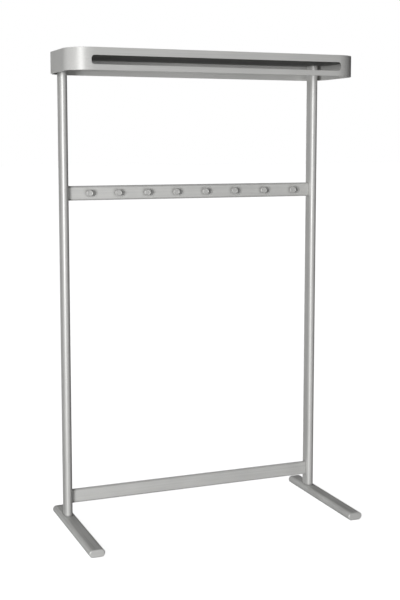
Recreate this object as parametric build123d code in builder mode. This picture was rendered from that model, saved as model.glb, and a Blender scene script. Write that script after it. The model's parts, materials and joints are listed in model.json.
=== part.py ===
"""Valet stand: two flat-oval posts on long feet, a knob rail, a lower cross bar and a slotted hood.

X runs along the width, Y from front (-) to back (+) and Z up. The origin is on the floor, at the
middle of the footprint of the feet. All sizes are in millimetres.
"""
import os

from build123d import *

os.makedirs("parts", exist_ok=True)

# ---- overall sizes ----
post_spacing = 1000.0      # centre to centre of the posts
stand_height = 1721.0      # floor to the top of the hood
foot_front_reach = 385.0   # post centre to the front end of a foot
foot_back_reach = 117.0    # post centre to the back end of a foot

# ---- flat-oval tube of the posts and feet ----
tube_depth = 56.0
tube_width = 28.0
tube_wall = 2.0

# ---- knob rail and lower bar, flat-oval tube ----
rail_height = 53.0
rail_depth = 16.0
rail_wall = 1.5
rail_level = 1222.0        # floor to the middle of the knob rail
bar_level = 98.0           # floor to the middle of the lower bar

# ---- hood ----
hood_overhang = 48.0       # post centre to the hood's end face
hood_height = 76.0
hood_front_reach = 281.0   # post centre to the front face of the hood
hood_back_reach = 48.0     # post centre to the back face of the hood
hood_sheet = 3.0           # thickness of the band
hood_corner = 85.0         # outer corner radius, seen from above
hood_edge = 1.0            # rounding of the band's outer edges
slot_end_margin = 76.0     # hood's end face to the slot
slot_height = 31.0
slot_end_radius = 11.0
slot_drop = 26.0           # top of the hood to the top of the slot
tray_sheet = 3.0           # floor of the tray in the top of the hood
tray_drop = 18.5           # top of the hood to the tray's floor
tray_flange = 2.0          # thickness of the tray's upturned edge
tray_flange_height = 12.0
splice_length = 60.0       # plates across the joints in the ends of the band
splice_sheet = 3.0
splice_margin = 4.0        # bare strip above and below a splice plate
fixing_plate_length = 96.0
fixing_plate_width = 44.0
fixing_plate_sheet = 3.0
fixing_plate_shift = 24.0  # towards the front, from the post centre
fixing_plate_bevel = 0.75

# ---- knobs ----
knob_count = 8
knob_end_margin = 77.0     # rail end to the nearest knob
knob_pitch_growth = 2.6    # each gap is this much wider than the one to its left
knob_radius = 12.0
knob_head = 9.0            # thickness of the head
knob_neck_radius = 6.5
knob_neck = 12.0           # length of the neck
knob_edge = 1.5
knob_dish = 0.8            # depth of the dish in the face
knob_dish_margin = 3.0     # rim left round the dish
knob_dish_slope = 45.0     # degrees, side of the dish

# ---- feet ----
cap_thickness = 6.0
cap_edge = 4.0
cap_spigot = 18.0
cap_wall = 3.0
glide_thickness = 2.0
glide_radius = 10.0
glide_stem_radius = 3.0
glide_stem = 6.0
glide_inset = 50.0         # end of the foot to the centre of a glide

# ---- plugs, blocks, pins and screws ----
top_plug_length = 60.0     # solid plugs in the post ends
foot_plug_length = 38.0
rail_plug = 40.0           # length of the plugs in the cross tubes
block_height = 48.0        # height of the blocks inside the posts
foot_block_length = 70.0
pin_radius = 4.0
pin_gap = 28.0             # between the two pins of a joint
pin_in_rail = 20.0         # reach of a pin past the face of the post
pin_in_block = 20.0        # reach of a pin into the post from its face
set_screw_radius = 3.0
set_screw_recess = 2.0     # below the back of the post
set_screw_socket = 1.6     # radius over the corners of a hexagon socket
bolt_radius = 4.0
bolt_head_radius = 6.5
bolt_head = 8.0
bolt_socket = 3.0
bolt_gap = 26.0            # between the two bolts of a foot
bolt_in_post = 30.0
counterbore_depth = 10.0
hood_screw_radius = 4.0
hood_screw_head_radius = 7.0
hood_screw_head = 4.0
hood_screw_socket = 3.0
hood_screw_in_post = 30.0
knob_screw_radius = 2.5
knob_screw_head_radius = 4.5
knob_screw_head = 3.0
knob_screw_socket = 2.0
knob_screw_in_knob = 12.0
socket_depth = 2.5

# ---- clearances ----
plug_clearance = 0.2       # plugs, blocks and spigots in their tubes
hole_clearance = 0.15      # radial, round pins and screws
sheet_clearance = 0.2      # tray and splice plates inside the band
end_clearance = 0.5        # beyond the ends of pins and bolts

# ---- places that follow from the sizes ----
post_y = (foot_front_reach - foot_back_reach) / 2
foot_bottom = glide_thickness
foot_top = foot_bottom + tube_width
tray_top = stand_height - tray_drop
tray_underside = tray_top - tray_sheet
post_length = tray_underside - foot_top
hood_width = post_spacing + 2 * hood_overhang
slot_length = hood_width - 2 * slot_end_margin
hood_bottom = stand_height - hood_height
hood_front_y = post_y - hood_front_reach
hood_back_y = post_y + hood_back_reach
hood_depth = hood_back_y - hood_front_y
hood_mid_y = (hood_front_y + hood_back_y) / 2
rail_length = post_spacing - tube_width
rail_front_y = post_y - rail_depth / 2
rail_back_y = post_y + rail_depth / 2
bolt_places = (-bolt_gap / 2, bolt_gap / 2)
pin_places = (-pin_gap / 2, pin_gap / 2)
sides = {"left": -1, "right": 1}
cross_levels = {"rail": rail_level, "bar": bar_level}
first_pitch = (rail_length - 2 * knob_end_margin) / (knob_count - 1)
first_pitch -= knob_pitch_growth * (knob_count - 2) / 2
knob_places = [
    knob_end_margin - rail_length / 2 + i * first_pitch + knob_pitch_growth * i * (i - 1) / 2
    for i in range(knob_count)
]


def flat_oval(long, short, upright=False):
    """Flat-oval outline in the current sketch: straight sides with half-round ends."""
    SlotOverall(long, short, rotation=90 if upright else 0)


def flat_oval_ring(long, short, wall, upright=False):
    """Flat-oval tube section in the current sketch."""
    flat_oval(long, short, upright)
    turn = 90 if upright else 0
    SlotOverall(long - 2 * wall, short - 2 * wall, rotation=turn, mode=Mode.SUBTRACT)


def plug_section(long, short, wall, upright=False):
    """Section of a solid plug that slides into a flat-oval tube."""
    play = 2 * (wall + plug_clearance)
    flat_oval(long - play, short - play, upright)


def facing(point, direction, across):
    """Plane at a point whose normal is the direction and whose local X is across."""
    return Plane(origin=point, x_dir=across, z_dir=direction)


def save(part, name):
    """Label a finished piece and write it as its own file."""
    part.label = name
    export_step(part, "parts/" + name + ".step")


# ---- posts, with what is inside them ----
for side, sign in sides.items():
    post_x = sign * post_spacing / 2
    inward = (-sign, 0, 0)

    with BuildPart() as post:
        with BuildSketch(Plane((post_x, post_y, foot_top))):
            flat_oval_ring(tube_depth, tube_width, tube_wall, upright=True)
        extrude(amount=post_length)
        for level in cross_levels.values():
            with BuildSketch(facing((post_x, post_y, level), inward, (0, 0, 1))):
                with Locations(*[(p, 0) for p in pin_places]):
                    Circle(pin_radius + hole_clearance)
            extrude(amount=tube_width, mode=Mode.SUBTRACT)
            with BuildSketch(facing((post_x, post_y, level), (0, 1, 0), (0, 0, 1))):
                with Locations(*[(p, 0) for p in pin_places]):
                    Circle(set_screw_radius + hole_clearance)
            extrude(amount=tube_depth, mode=Mode.SUBTRACT)
    save(post.part, "post_" + side)

    with BuildPart() as top_plug:
        with BuildSketch(Plane((post_x, post_y, tray_underside - top_plug_length))):
            plug_section(tube_depth, tube_width, tube_wall, upright=True)
        extrude(amount=top_plug_length)
        with BuildSketch(Plane((post_x, post_y, tray_underside - hood_screw_in_post - end_clearance))):
            with Locations(*[(0, p) for p in bolt_places]):
                Circle(hood_screw_radius + hole_clearance)
        extrude(amount=top_plug_length, mode=Mode.SUBTRACT)
    save(top_plug.part, "post_top_plug_" + side)

    with BuildPart() as foot_plug:
        with BuildSketch(Plane((post_x, post_y, foot_top))):
            plug_section(tube_depth, tube_width, tube_wall, upright=True)
        extrude(amount=foot_plug_length)
        with BuildSketch(Plane((post_x, post_y, foot_top))):
            with Locations(*[(0, p) for p in bolt_places]):
                Circle(bolt_radius + hole_clearance)
        extrude(amount=bolt_in_post + end_clearance, mode=Mode.SUBTRACT)
    save(foot_plug.part, "post_foot_plug_" + side)

    for cross, level in cross_levels.items():
        with BuildPart() as block:
            with BuildSketch(Plane((post_x, post_y, level - block_height / 2))):
                plug_section(tube_depth, tube_width, tube_wall, upright=True)
            extrude(amount=block_height)
            blind_end = post_x - sign * (tube_width / 2 - pin_in_block - end_clearance)
            with BuildSketch(facing((blind_end, post_y, level), inward, (0, 0, 1))):
                with Locations(*[(p, 0) for p in pin_places]):
                    Circle(pin_radius + hole_clearance)
            extrude(amount=tube_depth, mode=Mode.SUBTRACT)
            with BuildSketch(facing((post_x, post_y, level), (0, 1, 0), (0, 0, 1))):
                with Locations(*[(p, 0) for p in pin_places]):
                    Circle(set_screw_radius + hole_clearance)
            extrude(amount=tube_depth, mode=Mode.SUBTRACT)
        save(block.part, cross + "_block_" + side)

        with BuildPart() as cross_plug:
            plug_face = post_x - sign * (tube_width / 2 + plug_clearance)
            with BuildSketch(facing((plug_face, post_y, level), inward, (0, 0, 1))):
                plug_section(rail_height, rail_depth, rail_wall)
            extrude(amount=rail_plug)
            with BuildSketch(facing((plug_face, post_y, level), inward, (0, 0, 1))):
                with Locations(*[(p, 0) for p in pin_places]):
                    Circle(pin_radius + hole_clearance)
            extrude(amount=pin_in_rail + end_clearance, mode=Mode.SUBTRACT)
        save(cross_plug.part, cross + "_plug_" + side)

# ---- cross tubes ----
with BuildPart() as knob_rail:
    with BuildSketch(facing((-rail_length / 2, post_y, rail_level), (1, 0, 0), (0, 1, 0))):
        flat_oval_ring(rail_height, rail_depth, rail_wall, upright=True)
    extrude(amount=rail_length)
    with BuildSketch(facing((0, post_y, rail_level), (0, -1, 0), (1, 0, 0))):
        with Locations(*[(x, 0) for x in knob_places]):
            Circle(knob_screw_radius + hole_clearance)
    extrude(amount=rail_depth, both=True, mode=Mode.SUBTRACT)
save(knob_rail.part, "knob_rail")

with BuildPart() as lower_bar:
    with BuildSketch(facing((-rail_length / 2, post_y, bar_level), (1, 0, 0), (0, 1, 0))):
        flat_oval_ring(rail_height, rail_depth, rail_wall, upright=True)
    extrude(amount=rail_length)
save(lower_bar.part, "lower_bar")

# ---- pins and set screws at the four joints ----
joint_places = [
    (sign, level + p) for sign in sides.values() for level in cross_levels.values() for p in pin_places
]

with BuildPart() as connector_pins:
    for sign, z in joint_places:
        start_x = sign * (post_spacing / 2 - tube_width / 2 + pin_in_block)
        with BuildSketch(facing((start_x, post_y, z), (-sign, 0, 0), (0, 1, 0))):
            Circle(pin_radius)
        extrude(amount=pin_in_block + pin_in_rail)
save(connector_pins.part, "connector_pins")

with BuildPart() as set_screws:
    tip_y = post_y + pin_radius
    end_y = post_y + tube_depth / 2 - set_screw_recess
    for sign, z in joint_places:
        with BuildSketch(facing((sign * post_spacing / 2, tip_y, z), (0, 1, 0), (1, 0, 0))):
            Circle(set_screw_radius)
        extrude(amount=end_y - tip_y)
        with BuildSketch(facing((sign * post_spacing / 2, end_y, z), (0, -1, 0), (1, 0, 0))):
            RegularPolygon(set_screw_socket, 6)
        extrude(amount=socket_depth, mode=Mode.SUBTRACT)
save(set_screws.part, "set_screws")

# ---- knobs ----
for number, knob_x in enumerate(knob_places, start=1):
    knob_length = knob_neck + knob_head
    with BuildPart() as knob:
        base = facing((knob_x, rail_front_y, rail_level), (0, -1, 0), (1, 0, 0))
        with BuildSketch(base):
            Circle(knob_neck_radius)
        extrude(amount=knob_neck)
        with BuildSketch(base.offset(knob_neck)):
            Circle(knob_radius)
        extrude(amount=knob_head)
        rims = knob.edges().filter_by(GeomType.CIRCLE).group_by(SortBy.RADIUS)[-1]
        fillet(rims, knob_edge)
        with BuildSketch(base.offset(knob_length)):
            Circle(knob_radius - knob_dish_margin)
        extrude(amount=-knob_dish, taper=knob_dish_slope, mode=Mode.SUBTRACT)
        with BuildSketch(base):
            Circle(knob_screw_radius + hole_clearance)
        extrude(amount=knob_screw_in_knob + end_clearance, mode=Mode.SUBTRACT)
    save(knob.part, "knob_" + str(number))

with BuildPart() as knob_screws:
    for knob_x in knob_places:
        back = facing((knob_x, rail_back_y, rail_level), (0, 1, 0), (1, 0, 0))
        with BuildSketch(back):
            Circle(knob_screw_head_radius)
        extrude(amount=knob_screw_head)
        with BuildSketch(back):
            Circle(knob_screw_radius)
        extrude(amount=-(rail_depth + knob_screw_in_knob))
        with BuildSketch(back.offset(knob_screw_head)):
            RegularPolygon(knob_screw_socket, 6)
        extrude(amount=-socket_depth, mode=Mode.SUBTRACT)
save(knob_screws.part, "knob_screws")

# ---- feet ----
foot_front_y = post_y - foot_front_reach
foot_back_y = post_y + foot_back_reach
foot_mid_z = foot_bottom + tube_width / 2
glide_places = (foot_front_y + glide_inset, foot_back_y - glide_inset)
block_bottom = foot_bottom + tube_wall + plug_clearance
below_foot = foot_bottom - tube_wall
wall_cut = 3 * tube_wall   # from below the foot to well past its lower wall
counterbore_radius = bolt_head_radius + 2 * hole_clearance
head_seat = block_bottom + counterbore_depth

for side, sign in sides.items():
    foot_x = sign * post_spacing / 2

    with BuildPart() as foot:
        with BuildSketch(facing((foot_x, foot_back_y - cap_thickness, foot_mid_z), (0, -1, 0), (1, 0, 0))):
            flat_oval_ring(tube_depth, tube_width, tube_wall)
        extrude(amount=foot_front_reach + foot_back_reach - 2 * cap_thickness)
        with BuildSketch(Plane((foot_x, post_y, foot_mid_z))):
            with Locations(*[(0, p) for p in bolt_places]):
                Circle(bolt_radius + hole_clearance)
        extrude(amount=tube_width, mode=Mode.SUBTRACT)
        with BuildSketch(Plane((foot_x, post_y, below_foot))):
            with Locations(*[(0, p) for p in bolt_places]):
                Circle(counterbore_radius)
        extrude(amount=wall_cut, mode=Mode.SUBTRACT)
        with BuildSketch(Plane((foot_x, 0, below_foot))):
            with Locations(*[(0, y) for y in glide_places]):
                Circle(glide_stem_radius + hole_clearance)
        extrude(amount=wall_cut, mode=Mode.SUBTRACT)
    save(foot.part, "foot_" + side)

    with BuildPart() as foot_block:
        block_start = post_y + foot_block_length / 2
        with BuildSketch(facing((foot_x, block_start, foot_mid_z), (0, -1, 0), (1, 0, 0))):
            plug_section(tube_depth, tube_width, tube_wall)
        extrude(amount=foot_block_length)
        with BuildSketch(Plane((foot_x, post_y, foot_bottom))):
            with Locations(*[(0, p) for p in bolt_places]):
                Circle(bolt_radius + hole_clearance)
        extrude(amount=tube_width, mode=Mode.SUBTRACT)
        with BuildSketch(Plane((foot_x, post_y, foot_bottom))):
            with Locations(*[(0, p) for p in bolt_places]):
                Circle(counterbore_radius)
        extrude(amount=head_seat - foot_bottom, mode=Mode.SUBTRACT)
    save(foot_block.part, "foot_block_" + side)

    for end, end_y, outward in (("front", foot_front_y, -1), ("back", foot_back_y, 1)):
        with BuildPart() as cap:
            joint_y = end_y - outward * cap_thickness
            inner_face = facing((foot_x, joint_y, foot_mid_z), (0, outward, 0), (1, 0, 0))
            with BuildSketch(inner_face):
                flat_oval(tube_depth, tube_width)
            extrude(amount=cap_thickness)
            fillet(cap.faces().sort_by(Axis.Y)[-1 if outward > 0 else 0].edges(), cap_edge)
            with BuildSketch(inner_face):
                plug_section(tube_depth, tube_width, tube_wall)
                play = 2 * (tube_wall + plug_clearance + cap_wall)
                SlotOverall(tube_depth - play, tube_width - play, mode=Mode.SUBTRACT)
            extrude(amount=-cap_spigot)
        save(cap.part, "foot_cap_" + end + "_" + side)

with BuildPart() as foot_bolts:
    for sign in sides.values():
        for p in bolt_places:
            seat = Plane((sign * post_spacing / 2, post_y + p, head_seat))
            with BuildSketch(seat):
                Circle(bolt_radius)
            extrude(amount=foot_top + bolt_in_post - head_seat)
            with BuildSketch(seat):
                Circle(bolt_head_radius)
            extrude(amount=-bolt_head)
            with BuildSketch(seat.offset(-bolt_head)):
                RegularPolygon(bolt_socket, 6)
            extrude(amount=socket_depth, mode=Mode.SUBTRACT)
save(foot_bolts.part, "foot_bolts")

with BuildPart() as floor_glides:
    for sign in sides.values():
        for y in glide_places:
            with BuildSketch(Plane((sign * post_spacing / 2, y, 0))):
                Circle(glide_radius)
            extrude(amount=glide_thickness)
            with BuildSketch(Plane((sign * post_spacing / 2, y, glide_thickness))):
                Circle(glide_stem_radius)
            extrude(amount=glide_stem)
save(floor_glides.part, "floor_glides")

# ---- hood ----
hood_plan = Plane((0, hood_mid_y, hood_bottom))
band_halves = {"front": (hood_front_y, hood_mid_y), "back": (hood_mid_y, hood_back_y)}


def hood_outline(inset):
    """Rounded outline of the hood from above, drawn in by the inset all round."""
    RectangleRounded(hood_width - 2 * inset, hood_depth - 2 * inset, hood_corner - inset)


for half, (from_y, to_y) in band_halves.items():
    with BuildPart() as band:
        with BuildSketch(hood_plan):
            hood_outline(0)
        extrude(amount=hood_height)
        levels = band.faces().filter_by(Axis.Z)
        fillet(levels.edges(), hood_edge)
        with BuildSketch(hood_plan):
            hood_outline(hood_sheet)
        extrude(amount=hood_height, mode=Mode.SUBTRACT)
        if half == "front":
            slot_middle = stand_height - slot_drop - slot_height / 2
            with BuildSketch(facing((0, hood_mid_y, slot_middle), (0, -1, 0), (1, 0, 0))):
                RectangleRounded(slot_length, slot_height, slot_end_radius)
            extrude(amount=hood_depth, mode=Mode.SUBTRACT)
        with BuildSketch(Plane((0, (from_y + to_y) / 2, hood_bottom))):
            Rectangle(hood_width, to_y - from_y)
        extrude(amount=hood_height, mode=Mode.INTERSECT)
    save(band.part, "hood_band_" + half)

splice_bottom = hood_bottom + splice_margin
splice_height = tray_underside - splice_margin - splice_bottom
for side, sign in sides.items():
    with BuildPart() as splice:
        wall_x = sign * (hood_width / 2 - hood_sheet - sheet_clearance)
        splice_middle = splice_bottom + splice_height / 2
        with BuildSketch(facing((wall_x, hood_mid_y, splice_middle), (-sign, 0, 0), (0, 1, 0))):
            RectangleRounded(splice_length, splice_height, splice_margin)
        extrude(amount=splice_sheet)
    save(splice.part, "hood_splice_" + side)

screw_places = [(s * post_spacing / 2, post_y + p) for s in sides.values() for p in bolt_places]

with BuildPart() as hood_tray:
    with BuildSketch(Plane((0, hood_mid_y, tray_underside))):
        hood_outline(hood_sheet + sheet_clearance)
    extrude(amount=tray_sheet + tray_flange_height)
    with BuildSketch(Plane((0, hood_mid_y, tray_top))):
        hood_outline(hood_sheet + sheet_clearance + tray_flange)
    extrude(amount=tray_flange_height, mode=Mode.SUBTRACT)
    with BuildSketch(Plane((0, 0, tray_underside))):
        with Locations(*screw_places):
            Circle(hood_screw_radius + hole_clearance)
    extrude(amount=tray_sheet, mode=Mode.SUBTRACT)
save(hood_tray.part, "hood_tray")

for side, sign in sides.items():
    with BuildPart() as fixing_plate:
        with BuildSketch(Plane((sign * post_spacing / 2, post_y - fixing_plate_shift, tray_top))):
            flat_oval(fixing_plate_length, fixing_plate_width, upright=True)
            with Locations(*[(0, p + fixing_plate_shift) for p in bolt_places]):
                Circle(hood_screw_radius + hole_clearance, mode=Mode.SUBTRACT)
        extrude(amount=fixing_plate_sheet)
        upper_rim = fixing_plate.faces().sort_by(Axis.Z)[-1].outer_wire().edges()
        chamfer(upper_rim, fixing_plate_bevel)
    save(fixing_plate.part, "fixing_plate_" + side)

with BuildPart() as hood_screws:
    head_seat_z = tray_top + fixing_plate_sheet
    for x, y in screw_places:
        with BuildSketch(Plane((x, y, head_seat_z))):
            Circle(hood_screw_head_radius)
        extrude(amount=hood_screw_head)
        with BuildSketch(Plane((x, y, head_seat_z))):
            Circle(hood_screw_radius)
        extrude(amount=-(fixing_plate_sheet + tray_sheet + hood_screw_in_post))
        with BuildSketch(Plane((x, y, head_seat_z + hood_screw_head))):
            RegularPolygon(hood_screw_socket, 6)
        extrude(amount=-socket_depth, mode=Mode.SUBTRACT)
save(hood_screws.part, "hood_screws")
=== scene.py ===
# %% [markdown]
# # A valet stand in satin silver
#
# The stand is made of drawn metal tube with a folded hood on top. The measured design comes in as a fixed
# frame, and this lesson gives it its looks: the camera, a finish for each kind of metal, the small turned
# pieces and the light. Everything is in metres, with Z up and the front towards -Y. The origin is on the
# floor, between the feet.

# %% Load the frame
import json
import math

import bpy
from mathutils import Matrix, Vector


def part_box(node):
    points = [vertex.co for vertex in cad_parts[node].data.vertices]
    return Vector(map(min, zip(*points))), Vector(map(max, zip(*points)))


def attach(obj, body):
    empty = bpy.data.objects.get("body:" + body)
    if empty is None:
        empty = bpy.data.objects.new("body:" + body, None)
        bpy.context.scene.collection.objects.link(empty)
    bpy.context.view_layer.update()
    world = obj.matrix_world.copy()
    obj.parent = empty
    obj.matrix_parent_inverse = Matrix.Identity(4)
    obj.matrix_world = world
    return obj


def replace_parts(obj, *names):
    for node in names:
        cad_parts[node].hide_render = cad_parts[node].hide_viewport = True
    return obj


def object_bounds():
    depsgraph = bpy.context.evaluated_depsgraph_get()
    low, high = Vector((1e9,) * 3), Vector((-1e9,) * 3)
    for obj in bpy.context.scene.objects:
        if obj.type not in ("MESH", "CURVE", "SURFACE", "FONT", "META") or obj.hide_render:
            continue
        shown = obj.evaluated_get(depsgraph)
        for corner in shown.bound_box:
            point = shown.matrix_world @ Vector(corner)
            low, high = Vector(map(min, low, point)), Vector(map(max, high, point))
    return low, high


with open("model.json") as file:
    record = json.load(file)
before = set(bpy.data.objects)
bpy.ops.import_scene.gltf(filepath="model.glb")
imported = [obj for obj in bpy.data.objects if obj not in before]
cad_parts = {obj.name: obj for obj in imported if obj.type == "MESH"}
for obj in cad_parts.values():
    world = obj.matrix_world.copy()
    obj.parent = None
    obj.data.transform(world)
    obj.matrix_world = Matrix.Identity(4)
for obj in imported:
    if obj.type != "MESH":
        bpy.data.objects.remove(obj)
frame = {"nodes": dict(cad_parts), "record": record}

cad_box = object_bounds()
nodes = frame["nodes"]
overall = cad_box[1] - cad_box[0]
print("pieces in the frame:", len(nodes))
print("overall size in metres:", [round(size, 3) for size in overall])

# %% [markdown]
# ## The camera
#
# The stand is seen a little from the left, from about the height of a person's eyes. A lens longer than
# normal keeps the posts nearly parallel. The picture is framed below the point that the lens looks at,
# which is what a shift lens does for a tall object: tilting the camera down instead would make the posts
# lean together.

# %% Camera
eye_place = (-1.507, -3.692, 1.404)
eye_turn = 0.380
eye_tilt = 0.109
lens_length = 65.36
frame_shift = (0.0034, -0.0637)

camera_data = bpy.data.cameras.new("camera")
camera_data.lens = lens_length
camera_data.shift_x, camera_data.shift_y = frame_shift
camera = bpy.data.objects.new("camera", camera_data)
camera.location = eye_place
camera.rotation_euler = (math.pi / 2 - eye_tilt, 0, -eye_turn)
bpy.context.scene.collection.objects.link(camera)
bpy.context.scene.camera = camera
print("the camera stands", round(math.hypot(*eye_place[:2]), 2), "m from the middle of the stand")

# %% [markdown]
# ## Writing shader maths as Python
#
# A node tree is easy to draw and hard to read back. Two small classes let a finish be written as
# expressions instead. A `Wire` is a socket that can be added, subtracted and multiplied, from either
# side, and each operation adds a Math node. `Finish.node` adds any other node, with its settings first
# and its sockets after them.

# %% Wires and finishes
class Wire:
    """A value in a node tree. Arithmetic on it adds Math nodes."""

    def __init__(self, finish, socket):
        self.finish = finish
        self.socket = socket

    def math(self, operation, first, second):
        return self.finish.node("ShaderNodeMath", {"operation": operation}, {0: first, 1: second})

    def __add__(self, other):
        return self.math("ADD", self, other)

    def __radd__(self, other):
        return self.math("ADD", other, self)

    def __sub__(self, other):
        return self.math("SUBTRACT", self, other)

    def __rsub__(self, other):
        return self.math("SUBTRACT", other, self)

    def __mul__(self, other):
        return self.math("MULTIPLY", self, other)

    def __rmul__(self, other):
        return self.math("MULTIPLY", other, self)


class Finish:
    """A material under construction."""

    def __init__(self, name):
        self.material = bpy.data.materials.new(name)
        self.material.use_nodes = True
        self.tree = self.material.node_tree
        self.tree.nodes.clear()

    def node(self, kind, settings=None, sockets=None, output=0):
        """Adds a node and gives the wire of one of its outputs."""
        made = self.tree.nodes.new(kind)
        for name, value in (settings or {}).items():
            if name == "stops":
                for stop, (place, level) in zip(made.color_ramp.elements, value):
                    stop.position = place
                    stop.color = (level, level, level, 1)
            else:
                setattr(made, name, value)
        for name, value in (sockets or {}).items():
            if isinstance(value, Wire):
                self.tree.links.new(value.socket, made.inputs[name])
            else:
                made.inputs[name].default_value = value
        return Wire(self, made.outputs[output])

    def scaled(self, where, steps):
        """A position divided by a step along each axis."""
        settings = {"operation": "MULTIPLY"}
        return self.node("ShaderNodeVectorMath", settings, {0: where, 1: [1 / step for step in steps]})

    def noise(self, where, steps, detail=3.0):
        """Noise from 0 to 1, with patches of the steps' size in metres along X, Y and Z."""
        sockets = {"Vector": self.scaled(where, steps), "Scale": 1.0, "Detail": detail}
        return self.node("ShaderNodeTexNoise", sockets=sockets, output="Fac")

    def ramp(self, value, first, second):
        """Maps a value between two grey stops, each a place and a level."""
        return self.node("ShaderNodeValToRGB", {"stops": (first, second)}, {"Fac": value})

    def blend(self, share, first, second):
        """A colour between two colours."""
        sockets = {0: share, 6: first, 7: second}
        return self.node("ShaderNodeMix", {"data_type": "RGBA"}, sockets, output=2)

    def relief(self, height, strength, depth):
        """A normal tilted by a height from 0 to 1, with its depth in metres."""
        sockets = {"Strength": strength, "Distance": depth, "Height": height}
        return self.node("ShaderNodeBump", sockets=sockets)

    def surface(self, sockets):
        """Closes the material with one Principled shader and gives the material."""
        shader = self.node("ShaderNodeBsdfPrincipled", sockets=sockets)
        target = self.tree.nodes.new("ShaderNodeOutputMaterial").inputs["Surface"]
        self.tree.links.new(shader.socket, target)
        return self.material


def shade(colour, factor):
    """A colour made darker or lighter, with its alpha."""
    return [min(1.0, channel * factor) for channel in colour] + [1.0]


# %% [markdown]
# ## Worn edges and painted shade in corners
#
# Two masks are shared by the metals. Edges that hands and hangers rub turn a shade brighter: a Bevel node
# gives the normal that the surface would have if it were rounded, and where that differs from the true
# normal there is an edge. Corners where two pieces meet are painted darker, as painted shade for the
# shadows that fall there, and the Ambient Occlusion node finds those.

# %% Masks for edges and corners
wear_radius = 0.0010
worn_ramp = ((0.80, 1.0), (0.99, 0.0))      # agreement of the two normals, and how worn that is
painted_shade_ramp = ((0.40, 1.0), (0.90, 0.0))     # share of open sky, and how much painted shade that gets
print("edges wear within", 1000 * wear_radius, "mm")


def edge_mask(finish):
    """1 along edges and 0 on flat metal."""
    rounded = finish.node("ShaderNodeBevel", {"samples": 4}, {"Radius": wear_radius})
    true = finish.node("ShaderNodeNewGeometry", output="Normal")
    settings = {"operation": "DOT_PRODUCT"}
    agreement = finish.node("ShaderNodeVectorMath", settings, {0: rounded, 1: true}, output="Value")
    return finish.ramp(agreement, *worn_ramp)


def corner_shade_mask(finish, reach):
    """1 in corners where pieces meet, fading to 0 at the reach, for painted shade."""
    settings = {"samples": 8}
    open_share = finish.node("ShaderNodeAmbientOcclusion", settings, {"Distance": reach}, output="AO")
    return finish.ramp(open_share, *painted_shade_ramp)


# %% [markdown]
# ## Satin silver
#
# The visible tube and sheet is metal that was brushed along its length, blasted with fine beads and then
# sealed with a thin satin coat, so it shines softly and shows no clear reflections. Three layers of noise
# make the colour: brush lines thinner than a millimetre, wider faint streaks, and soft patches where the
# surface took the treatment differently. Noise stretched along one axis is better here than an image,
# because it has no seams and no repeats.
#
# The coat scatters light as paint does, so the shader is only partly metallic: the lower the value, the
# deeper the shadows that small pieces such as the knobs throw on it. A sheet's underside can also be made
# rough, not metallic and painted darker, as painted shade for the dim inside of the hood. The normal's Z
# tells the shader which faces look down.

# %% Brushed silver
warm_silver = (0.74, 0.74, 0.722)
brush_lines = {"x": (0.20, 0.0007, 0.0007), "y": (0.0007, 0.20, 0.0007), "z": (0.0007, 0.0007, 0.20)}
wide_streaks = {"x": (0.45, 0.005, 0.005), "y": (0.005, 0.45, 0.005), "z": (0.005, 0.005, 0.45)}
soft_patches = (0.15, 0.15, 0.15)
blast_pits = (0.0005, 0.0005, 0.0005)
even_tone = (0.34, 0.66)      # the levels between which the mixed noise varies
# the second tone is painted shade for corners where pieces meet
wear_and_highlight_shade, painted_shade_tone = 1.22, 0.22
# the underside's darker colour is painted shade for the dim inside of the hood; its roughness is its own
underside_painted_tone, dull_roughness = 0.32, 0.90
down_ramp = ((0.2, 1.0), (0.5, 0.0))      # 1 + the normal's Z, and how far the face looks down
print("brush lines are", 1000 * brush_lines["x"][1], "mm wide")


def silver(name, along, colour=warm_silver, roughness=0.50, metal=0.45, wear_and_highlight=0.45, contrast=0.065,
           reach=0.012, painted_shade=0.85, painted_shade_below=False):
    """Brushed and blasted silver, with the grain along one axis."""
    finish = Finish(name)
    where = finish.node("ShaderNodeTexCoord", output="Object")
    lines = finish.noise(where, brush_lines[along])
    streaks = finish.noise(where, wide_streaks[along], detail=2.0)
    patches = finish.noise(where, soft_patches, detail=2.0)
    pits = finish.noise(where, blast_pits, detail=1.0)
    worn = edge_mask(finish)
    mixed = 0.35 * lines + 0.35 * streaks + 0.30 * patches
    tone = finish.ramp(mixed, (even_tone[0], 0.0), (even_tone[1], 1.0))
    face = finish.blend(tone, shade(colour, 1 - contrast), shade(colour, 1 + contrast))
    # worn edges turn brighter; on the caps this also paints a highlight along the rim
    face = finish.blend(wear_and_highlight * worn, face, shade(colour, wear_and_highlight_shade))
    # painted shade: corners where pieces meet, and the inside of the hood, are darkened towards a dark
    # tone
    face = finish.blend(painted_shade * corner_shade_mask(finish, reach), face, shade(colour, painted_shade_tone))
    gloss = roughness + 0.10 * (lines - 0.5) + 0.14 * (patches - 0.5) - 0.10 * worn
    # painted shade: faces that look down are darkened, and also made rough and not metallic
    if painted_shade_below:
        normal = finish.node("ShaderNodeNewGeometry", output="Normal")
        upright = finish.node("ShaderNodeSeparateXYZ", sockets={"Vector": normal}, output="Z")
        below = finish.ramp(upright + 1.0, *down_ramp)
        face = finish.blend(below, face, shade(colour, underside_painted_tone))
        gloss = gloss + below * (dull_roughness - roughness)
        metal = metal - metal * below
    height = 0.5 * lines + 0.3 * streaks + 0.2 * pits
    relief = finish.relief(height, 0.35, 0.00003)
    return finish.surface({"Base Color": face, "Metallic": metal, "Roughness": gloss, "Normal": relief})


# %% [markdown]
# ## Turned silver
#
# The knobs come off a lathe, so their marks are rings about their own middle. Generated coordinates run
# from 0 to 1 across each knob, and the distance from their middle gives the rings wherever the knob
# stands. They are a little stronger than the lines of a brushed tube, because a cut across a flat face
# leaves a clear groove.

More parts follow.
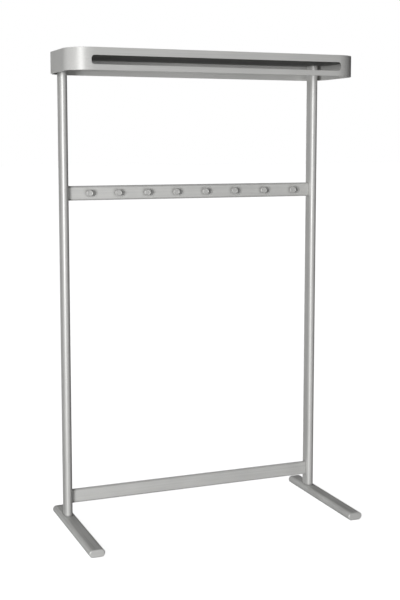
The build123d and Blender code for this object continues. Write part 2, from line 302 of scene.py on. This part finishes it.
# %% Turned finish for the knobs
turning_pitch = 0.022      # of the knob's width
knob_patch = 0.02
# painted shade on the knobs, in the hollow under the button and where the neck meets the rail
knob_painted_shade, knob_shade_reach = 0.6, 0.008
print("turning marks are", round(24 * turning_pitch, 2), "mm apart on a 24 mm knob")


def turned_silver(name, colour=warm_silver, roughness=0.42, metal=0.22):
    """Lathe-turned silver with rings about the middle of each piece, seen along Y."""
    finish = Finish(name)
    across = finish.node("ShaderNodeTexCoord", output="Generated")
    middle = (0.5, 0.5, 0.5)
    centred = finish.node("ShaderNodeVectorMath", {"operation": "SUBTRACT"}, {0: across, 1: middle})
    flat = finish.node("ShaderNodeVectorMath", {"operation": "MULTIPLY"}, {0: centred, 1: (1, 0, 1)})
    reach = finish.node("ShaderNodeVectorMath", {"operation": "LENGTH"}, {0: flat}, output="Value")
    place = finish.node("ShaderNodeCombineXYZ", sockets={"X": reach})
    rings = finish.noise(place, (turning_pitch, 1, 1), detail=2.0)
    where = finish.node("ShaderNodeTexCoord", output="Object")
    patches = finish.noise(where, (knob_patch, knob_patch, knob_patch), detail=2.0)
    worn = edge_mask(finish)
    tone = finish.ramp(rings, (0.3, 0.0), (0.7, 1.0))
    face = finish.blend(tone, shade(colour, 0.92), shade(colour, 1.05))
    face = finish.blend(0.45 * worn, face, shade(colour, 1.20))
    # painted shade: the knob is darkened in its corners towards a dark tone
    knob_shade_share = knob_painted_shade * corner_shade_mask(finish, knob_shade_reach)
    face = finish.blend(knob_shade_share, face, shade(colour, painted_shade_tone))
    gloss = roughness + 0.12 * (rings - 0.5) + 0.12 * (patches - 0.5)
    relief = finish.relief(rings, 0.4, 0.00004)
    return finish.surface({"Base Color": face, "Metallic": metal, "Roughness": gloss, "Normal": relief})


# %% [markdown]
# ## The quiet materials
#
# Plates and plugs are left as the mill rolled them, with streaks and a duller, greyer face. Screws and
# bolts are zinc plated steel, cloudy and slightly blue. The glides are moulded nylon: near black, with a
# fine grain that breaks up the light, and scuffed paler underneath where they slide on the floor.

# %% Mill metal, plated steel and nylon
crystal_cloud, crystal_speck = 0.0025, 0.0004
nylon_pebble = 0.0006
scuff_size = (0.006, 0.0009, 0.006)
print("zinc clouds are", 1000 * crystal_cloud, "mm across, nylon pebbles", 1000 * nylon_pebble, "mm")


def mill_metal(name, along, colour=(0.56, 0.56, 0.55)):
    """Bare rolled metal with streaks along one axis."""
    return silver(name, along, colour=colour, roughness=0.42, metal=0.8)


def plated_steel(name, colour=(0.50, 0.51, 0.53)):
    """Zinc plated steel with cloudy crystals."""
    finish = Finish(name)
    where = finish.node("ShaderNodeTexCoord", output="Object")
    clouds = finish.noise(where, (crystal_cloud, crystal_cloud, crystal_cloud), detail=4.0)
    specks = finish.noise(where, (crystal_speck, crystal_speck, crystal_speck), detail=1.0)
    worn = edge_mask(finish)
    tone = finish.ramp(clouds, (0.35, 0.0), (0.65, 1.0))
    face = finish.blend(tone, shade(colour, 0.82), shade(colour, 1.12))
    face = finish.blend(0.5 * worn, face, shade(colour, 1.40))
    gloss = 0.36 + 0.20 * (clouds - 0.5) + 0.08 * (specks - 0.5)
    relief = finish.relief(specks, 0.3, 0.00003)
    return finish.surface({"Base Color": face, "Metallic": 1.0, "Roughness": gloss, "Normal": relief})


def nylon(name, colour=(0.030, 0.030, 0.032), scuffed=(0.16, 0.16, 0.155)):
    """Moulded black nylon, scuffed paler in streaks."""
    finish = Finish(name)
    where = finish.node("ShaderNodeTexCoord", output="Object")
    pebble = finish.noise(where, (nylon_pebble, nylon_pebble, nylon_pebble), detail=2.0)
    scuffs = finish.noise(where, scuff_size)
    rubbed = finish.ramp(scuffs, (0.52, 0.0), (0.75, 1.0))
    face = finish.blend(0.7 * rubbed, shade(colour, 1.0), shade(scuffed, 1.0))
    gloss = 0.50 + 0.20 * rubbed + 0.10 * (pebble - 0.5)
    relief = finish.relief(pebble, 0.4, 0.00005)
    return finish.surface({"Base Color": face, "Roughness": gloss, "Normal": relief})


# %% [markdown]
# ## Which finish goes where
#
# Each node of the frame names a material slot, and each slot gets one finish. Three kinds of piece get
# one of their own: the feet share the posts' tube but lie down, so their grain runs from front to back;
# the tray is sheet like the hood, with its underside painted darker as painted shade; and the splice
# plates take the hood's finish, since they show through the slot. A CAD node keeps its shape: the finish
# goes into its object's material slot.

# %% Give every node its finish
hood_colour = shade(warm_silver, 0.965)[:3]
rail_colour = shade(warm_silver, 1.03)[:3]
cap_colour = (0.79, 0.79, 0.77)
finishes = {
    "hood_silver": silver("hood_silver", "x", colour=hood_colour, roughness=0.41, metal=0.08,
                          contrast=0.08, reach=0.035, painted_shade=0.40),
    "tray_silver": silver("tray_silver", "x", metal=0.20, painted_shade_below=True),
    "rail_silver": silver("rail_silver", "x", colour=rail_colour, roughness=0.32, metal=0.14,
                          contrast=0.09, reach=0.022, painted_shade=0.55),
    "tube_silver": silver("tube_silver", "z", roughness=0.45, metal=0.24, painted_shade=0.60),
    "foot_silver": silver("foot_silver", "y", metal=0.25, contrast=0.22),
    # the caps' edge brightening is raised to paint a highlight along the rim, besides their wear
    "cap_silver": silver("cap_silver", "x", colour=cap_colour, roughness=0.44, metal=0.30, wear_and_highlight=0.9),
    "knob_silver": turned_silver("knob_silver"),
    "plate_metal": mill_metal("plate_metal", "y"),
    "plug_metal": mill_metal("plug_metal", "z"),
    "fastener_steel": plated_steel("fastener_steel"),
    "glide": nylon("glide"),
}
slot_of = {row["node"]: row["material_slot"] for row in frame["record"]["subparts"]}
own_finish = {
    "foot_left": "foot_silver",
    "foot_right": "foot_silver",
    "hood_tray": "tray_silver",
    "hood_splice_left": "hood_silver",
    "hood_splice_right": "hood_silver",
}
for name, node in nodes.items():
    kind = own_finish.get(name, slot_of[name])
    for material_slot in node.material_slots:
        material_slot.link = "OBJECT"
        material_slot.material = finishes[kind]
print("finishes:", ", ".join(finishes))

# %% [markdown]
# ## Turned pieces from rings
#
# Knobs, screws and glides are all stacks of rings about an axis, so one function makes them. A ring has a
# radius and a height, and may have six sides instead of being round, which is how a hexagon socket is
# made without a boolean: the ring of the round head is simply joined to the ring of the socket's mouth.
# Every ring has the same number of points, so neighbours join up in clean quads.

# %% Rings to mesh
ring_points = 48
hexagon = 6
sharp_angle = math.radians(30)      # faces that meet at more than this keep a crisp edge
print("each ring has", ring_points, "points,", ring_points // hexagon, "to a side of a hexagon")


def ring(radius, height, sides=0):
    """A closed ring of points: round, or with flat sides whose corners lie on the radius."""
    points = []
    for step in range(ring_points):
        angle = 2 * math.pi * step / ring_points
        reach = radius
        if sides:
            half = math.pi / sides
            reach = radius * math.cos(half) / math.cos(angle % (2 * half) - half)
        points.append((reach * math.cos(angle), reach * math.sin(angle), height))
    return points


def arc(centre, radius, start, end, steps=6):
    """Profile points (radius, height) along an arc, with angles in degrees."""
    turns = [math.radians(start + (end - start) * step / steps) for step in range(steps + 1)]
    return [(centre[0] + radius * math.cos(turn), centre[1] + radius * math.sin(turn)) for turn in turns]


def stack(rings):
    """Points and faces of a closed stack of rings, first ring at the bottom."""
    points = [point for one in rings for point in one]
    faces = []
    for level in range(len(rings) - 1):
        low = level * ring_points
        for step in range(ring_points):
            after = (step + 1) % ring_points
            faces.append((low + step, low + after, low + ring_points + after, low + ring_points + step))
    faces.append(tuple(reversed(range(ring_points))))
    faces.append(tuple(range(len(points) - ring_points, len(points))))
    return points, faces


def place_stacks(name, rings, seats, axis, slot):
    """One object with a copy of the stack at each seat, its axis turned the given way."""
    turn = Vector((0, 0, 1)).rotation_difference(Vector(axis)).to_matrix().to_4x4()
    points, faces = [], []
    shape_points, shape_faces = stack(rings)
    for seat in seats:
        at = Matrix.Translation(seat) @ turn
        start = len(points)
        points += [at @ Vector(point) for point in shape_points]
        faces += [tuple(start + index for index in face) for face in shape_faces]
    mesh = bpy.data.meshes.new(name)
    mesh.from_pydata(points, [], faces)
    mesh.materials.append(finishes[slot])
    mesh.shade_smooth()
    mesh.set_sharp_from_angle(angle=sharp_angle)
    piece = bpy.data.objects.new(name, mesh)
    bpy.context.scene.collection.objects.link(piece)
    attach(piece, "root")
    print(name, "has", len(seats), "turned shapes and", len(faces), "faces")
    return piece


# %% [markdown]
# ## The knobs
#
# Each knob is a flat button on a slim neck. Coats hang behind the button, so the neck ends in a small
# hollow curve under it, and the rim is rounded so that it can't mark the cloth. The face is dished
# slightly, with a soft step inside the rim. A profile of arcs gives all that in one pass of the lathe.

# %% Turn the knobs
knob_neck_radius = 0.0065
knob_neck_length = 0.012
knob_neck_foot = 0.0005    # bevel where the neck meets the rail
knob_hollow = 0.0022       # radius of the curve under the button
knob_under_edge = 0.0012
knob_rim_edge = 0.0020
knob_dish_radius = 0.0088
knob_dish_depth = 0.0007
knob_dish_curve = 0.0010
knob_dish_rings = (0.66, 0.33, 0.08)      # of the dish's radius

knob_names = sorted(name for name in nodes if name.removeprefix("knob_").isdigit())
for name in knob_names:
    low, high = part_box(name)
    knob_radius = (high.x - low.x) / 2
    knob_length = high.y - low.y
    hollow_centre = (knob_neck_radius + knob_hollow, knob_neck_length - knob_hollow)
    profile = [(knob_neck_radius - knob_neck_foot, 0), (knob_neck_radius, knob_neck_foot)]
    profile += arc(hollow_centre, knob_hollow, 180, 90)
    under_centre = (knob_radius - knob_under_edge, knob_neck_length + knob_under_edge)
    profile += arc(under_centre, knob_under_edge, -90, 0)
    rim_centre = (knob_radius - knob_rim_edge, knob_length - knob_rim_edge)
    profile += arc(rim_centre, knob_rim_edge, 0, 90)
    dish_top = knob_length - knob_dish_depth
    profile += [(knob_dish_radius + knob_dish_curve, knob_length)]
    profile += [(knob_dish_radius + knob_dish_curve / 3, knob_length - knob_dish_depth / 3)]
    profile += [(knob_dish_radius - knob_dish_curve / 3, dish_top)]
    profile += [(knob_dish_radius * share, dish_top) for share in knob_dish_rings]
    seat = ((low.x + high.x) / 2, high.y, (low.z + high.z) / 2)
    rings = [ring(*point) for point in profile]
    knob = place_stacks(name + "_turned", rings, [seat], (0, -1, 0), "knob_silver")
    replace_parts(knob, name)

# %% [markdown]
# ## Screws and bolts
#
# The stand comes apart with a hexagon key. The hood's screws have domed heads on the tray's plates, the
# knobs are held by small domed screws through the rail, set screws clamp the cross tubes from behind, and
# bolts come up through the feet. Their heads get the socket, the bevelled mouth and the rounded crown of
# real screws.

# %% Heads with hexagon sockets
thread_bevel = 0.0006
mouth_bevel = 0.0004
socket_depth = 0.0025
cone_radius, cone_depth = 0.3, 1.15      # of the socket's: the cone that the drill leaves at its bottom


def screw(head_radius, head_height, shank_radius, shank_length, socket_radius, crown):
    """Rings of a screw whose head sits on height 0, from the shank's tip to the socket's floor."""
    rings = [ring(shank_radius - thread_bevel, -shank_length)]
    rings += [ring(shank_radius, thread_bevel - shank_length), ring(shank_radius, 0)]
    edge = min(crown, head_height / 2)
    rings += [ring(head_radius - edge / 3, 0), ring(head_radius, edge / 3)]
    rings += [ring(*point) for point in arc((head_radius - crown, head_height - crown), crown, 0, 90)]
    rings += [ring(socket_radius + mouth_bevel, head_height)]
    rings += [ring(socket_radius, head_height - mouth_bevel, hexagon)]
    rings += [ring(socket_radius, head_height - socket_depth, hexagon)]
    rings += [ring(socket_radius * cone_radius, head_height - socket_depth * cone_depth, hexagon)]
    return rings


post_places = [sum(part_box("post_" + side), Vector()) / 2 for side in ("left", "right")]


def rows_of(name, head_radius):
    """Y of the two rows of heads in a group, front and back, from the group's box."""
    low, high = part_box(name)
    return [low.y + head_radius, high.y - head_radius]


hood_head, hood_head_height, hood_shank = 0.0070, 0.0040, 0.0040
hood_socket, hood_crown = 0.0030, 0.0024
low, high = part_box("hood_screws")
rows = rows_of("hood_screws", hood_head)
seats = [(post.x, y, high.z - hood_head_height) for post in post_places for y in rows]
shank_length = high.z - low.z - hood_head_height
rings = screw(hood_head, hood_head_height, hood_shank, shank_length, hood_socket, hood_crown)
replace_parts(place_stacks("hood_screws_turned", rings, seats, (0, 0, 1), "fastener_steel"), "hood_screws")

bolt_head, bolt_head_height, bolt_shank = 0.0065, 0.0080, 0.0040
bolt_socket, bolt_crown = 0.0030, 0.0008
low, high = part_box("foot_bolts")
rows = rows_of("foot_bolts", bolt_head)
seats = [(post.x, y, low.z + bolt_head_height) for post in post_places for y in rows]
shank_length = high.z - low.z - bolt_head_height
rings = screw(bolt_head, bolt_head_height, bolt_shank, shank_length, bolt_socket, bolt_crown)
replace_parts(place_stacks("foot_bolts_turned", rings, seats, (0, 0, -1), "fastener_steel"), "foot_bolts")

knob_screw_head, knob_screw_height, knob_screw_shank = 0.0045, 0.0030, 0.0025
knob_screw_socket, knob_screw_crown = 0.0020, 0.0018
low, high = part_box("knob_screws")
seats = []
for name in knob_names:
    knob_low, knob_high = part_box(name)
    seats.append(((knob_low.x + knob_high.x) / 2, high.y - knob_screw_height, (low.z + high.z) / 2))
shank_length = high.y - low.y - knob_screw_height
rings = screw(knob_screw_head, knob_screw_height, knob_screw_shank, shank_length,
              knob_screw_socket, knob_screw_crown)
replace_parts(place_stacks("knob_screws_turned", rings, seats, (0, 1, 0), "fastener_steel"), "knob_screws")

# %% [markdown]
# Set screws have no head. They are short threaded studs with a bevelled end and a socket, sunk just below
# the back of each post, two to a joint.

# %% Set screws
set_radius, set_socket = 0.0030, 0.0016
low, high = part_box("set_screws")
set_length = high.y - low.y
rail_middle = sum(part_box("rail_block_left"), Vector()).z / 2
bar_middle = sum(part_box("bar_block_left"), Vector()).z / 2
pin_step = high.z - set_radius - rail_middle
levels = [middle + turn * pin_step for middle in (rail_middle, bar_middle) for turn in (-1, 1)]
rings = [ring(set_radius - thread_bevel, 0), ring(set_radius, thread_bevel)]
rings += [ring(set_radius, set_length - mouth_bevel), ring(set_radius - mouth_bevel, set_length)]
rings += [ring(set_socket, set_length, hexagon), ring(set_socket, set_length - socket_depth, hexagon)]
seats = [(post.x, low.y, level) for post in post_places for level in levels]
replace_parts(place_stacks("set_screws_turned", rings, seats, (0, 1, 0), "fastener_steel"), "set_screws")

# %% [markdown]
# ## The glides
#
# Four nylon glides keep the metal off the floor. Each is a moulded disc with a stem pressed into the
# foot. The lower edge is well rounded, so that it rides over the joints of a floor, and the bottom stays
# flat.

# %% Mould the glides
glide_radius, glide_thickness = 0.010, 0.0020
glide_stem, glide_round = 0.0030, 0.0012
glide_middle = 0.0010
glide_flat = 0.6      # of the disc's radius
low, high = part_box("floor_glides")
profile = [(glide_middle, 0), (glide_radius * glide_flat, 0)]
profile += arc((glide_radius - glide_round, glide_round), glide_round, -90, 0)
profile += [(glide_radius, glide_thickness), (glide_stem, glide_thickness)]
profile += [(glide_stem, high.z - thread_bevel), (glide_stem - thread_bevel, high.z)]
rings = [ring(*point) for point in profile]
rows = rows_of("floor_glides", glide_radius)
seats = [(post.x, y, low.z) for post in post_places for y in rows]
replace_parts(place_stacks("floor_glides_moulded", rings, seats, (0, 0, 1), "glide"), "floor_glides")

# %% [markdown]
# ## The floor
#
# A wide white floor meets a white background, as on a photographer's paper sweep. It glows, so that it
# stays white and hardly takes a shadow. It is hidden from the metal's reflections, which keeps the
# undersides of the rail and the hood as dark as they are over a real studio table with black flags.

# %% Paper floor
floor_reach = 60.0
floor_glow = 0.86
paper_patch = 0.5
paper_ramp = ((0.3, 0.90), (0.7, 0.94))
paper_roughness = 0.9

floor_mesh = bpy.data.meshes.new("floor")
square = [(-1, -1), (1, -1), (1, 1), (-1, 1)]
floor_mesh.from_pydata([(x * floor_reach, y * floor_reach, 0) for x, y in square], [], [(0, 1, 2, 3)])
floor = bpy.data.objects.new("floor", floor_mesh)
bpy.context.scene.collection.objects.link(floor)
floor.visible_glossy = False
floor.visible_diffuse = False
floor.visible_shadow = False

paper = Finish("paper")
paper_place = paper.node("ShaderNodeTexCoord", output="Object")
paper_tone = paper.ramp(paper.noise(paper_place, (paper_patch, paper_patch, paper_patch)), *paper_ramp)
sockets = {"Base Color": paper_tone, "Roughness": paper_roughness}
sockets.update({"Emission Color": (1, 1, 1, 1), "Emission Strength": floor_glow})
floor_mesh.materials.append(paper.surface(sockets))
print("the floor is", 2 * floor_reach, "m across and glows at", floor_glow)

# %% [markdown]
# ## The light
#
# Wide sun lamps stand in for far softboxes: a lamp's angle is how wide the box looks from the stand, and
# its light doesn't fade across the metre of the rail. The key comes from the front left at the height of
# the stand, which draws the bright line down each post. Weak lamps from the sides and behind give the
# shaded faces their tone, so that no side of the stand goes black when the camera walks round it.

# %% Softboxes
def softbox(name, turn, rise, width, power):
    """A far softbox, in degrees. Turn 0 lights the front, -90 the left side; rise is above the horizon."""
    lamp = bpy.data.lights.new(name, "SUN")
    lamp.angle = math.radians(width)
    lamp.energy = power
    holder = bpy.data.objects.new(name, lamp)
    holder.rotation_euler = (math.pi / 2 - math.radians(rise), 0, math.radians(turn))
    bpy.context.scene.collection.objects.link(holder)
    print("softbox", name, "of power", power, "looks", width, "degrees wide")


softbox("key", -45, 2, 22, 1.14)
softbox("front_fill", 10, 1, 26, 0.20)
softbox("low_left", -36, -22, 32, 0.10)
softbox("low_right", 8, -25, 32, 0.19)
softbox("left_back", -125, 24, 32, 0.24)
softbox("top_back", 180, 48, 32, 0.22)
softbox("low_back", 172, -12, 28, 0.36)
softbox("top_right", 90, 65, 32, 0.24)
softbox("right_back", 150, 4, 40, 0.10)

# %% [markdown]
# The key has a nearer partner, a round box a few metres off on the same side. Its light fades with
# distance, so the rails are a little brighter at their left end than at their right.

# %% The near box
near_aim = Vector((-0.5, 0.13, 1.15))
near_turn, near_distance, near_width = math.radians(-43), 4.0, math.radians(20)
near_strength = 1.20

near = bpy.data.lights.new("near_key", "AREA")
near.shape = "DISK"
near.size = 2 * near_distance * math.tan(near_width / 2)
near.energy = near_strength * math.pi * near_distance ** 2
near_holder = bpy.data.objects.new("near_key", near)
near_holder.location = near_aim + near_distance * Vector((math.sin(near_turn), -math.cos(near_turn), 0))
near_holder.rotation_euler = (near_aim - near_holder.location).to_track_quat("-Z", "Y").to_euler()
bpy.context.scene.collection.objects.link(near_holder)
near_place = [round(value, 2) for value in near_holder.location]
print("the near box is", round(near.size, 2), "m across and stands at", near_place)

# %% [markdown]
# The background is plain white to the camera. The light that it sheds on the metal is much weaker, which
# keeps the contrast of the softboxes. Colours are shown as they are, with no film-like curve, so white
# stays white.

# %% Background
felt_strength, seen_strength = 0.012, 1.0
world = bpy.data.worlds.new("studio")
world.use_nodes = True
bpy.context.scene.world = world
world_nodes, world_links = world.node_tree.nodes, world.node_tree.links
world_nodes.clear()
ambient = world_nodes.new("ShaderNodeBackground")
ambient.inputs["Color"].default_value = (1, 1, 1, 1)
ambient.inputs["Strength"].default_value = felt_strength
backdrop = world_nodes.new("ShaderNodeBackground")
backdrop.inputs["Color"].default_value = (1, 1, 1, 1)
backdrop.inputs["Strength"].default_value = seen_strength
seen_or_felt = world_nodes.new("ShaderNodeMixShader")
light_path = world_nodes.new("ShaderNodeLightPath")
world_output = world_nodes.new("ShaderNodeOutputWorld")
world_links.new(light_path.outputs["Is Camera Ray"], seen_or_felt.inputs[0])
world_links.new(ambient.outputs[0], seen_or_felt.inputs[1])
world_links.new(backdrop.outputs[0], seen_or_felt.inputs[2])
world_links.new(seen_or_felt.outputs[0], world_output.inputs["Surface"])
bpy.context.scene.view_settings.view_transform = "Standard"
print("the background is", seen_strength, "to the eye and", felt_strength, "to the metal")
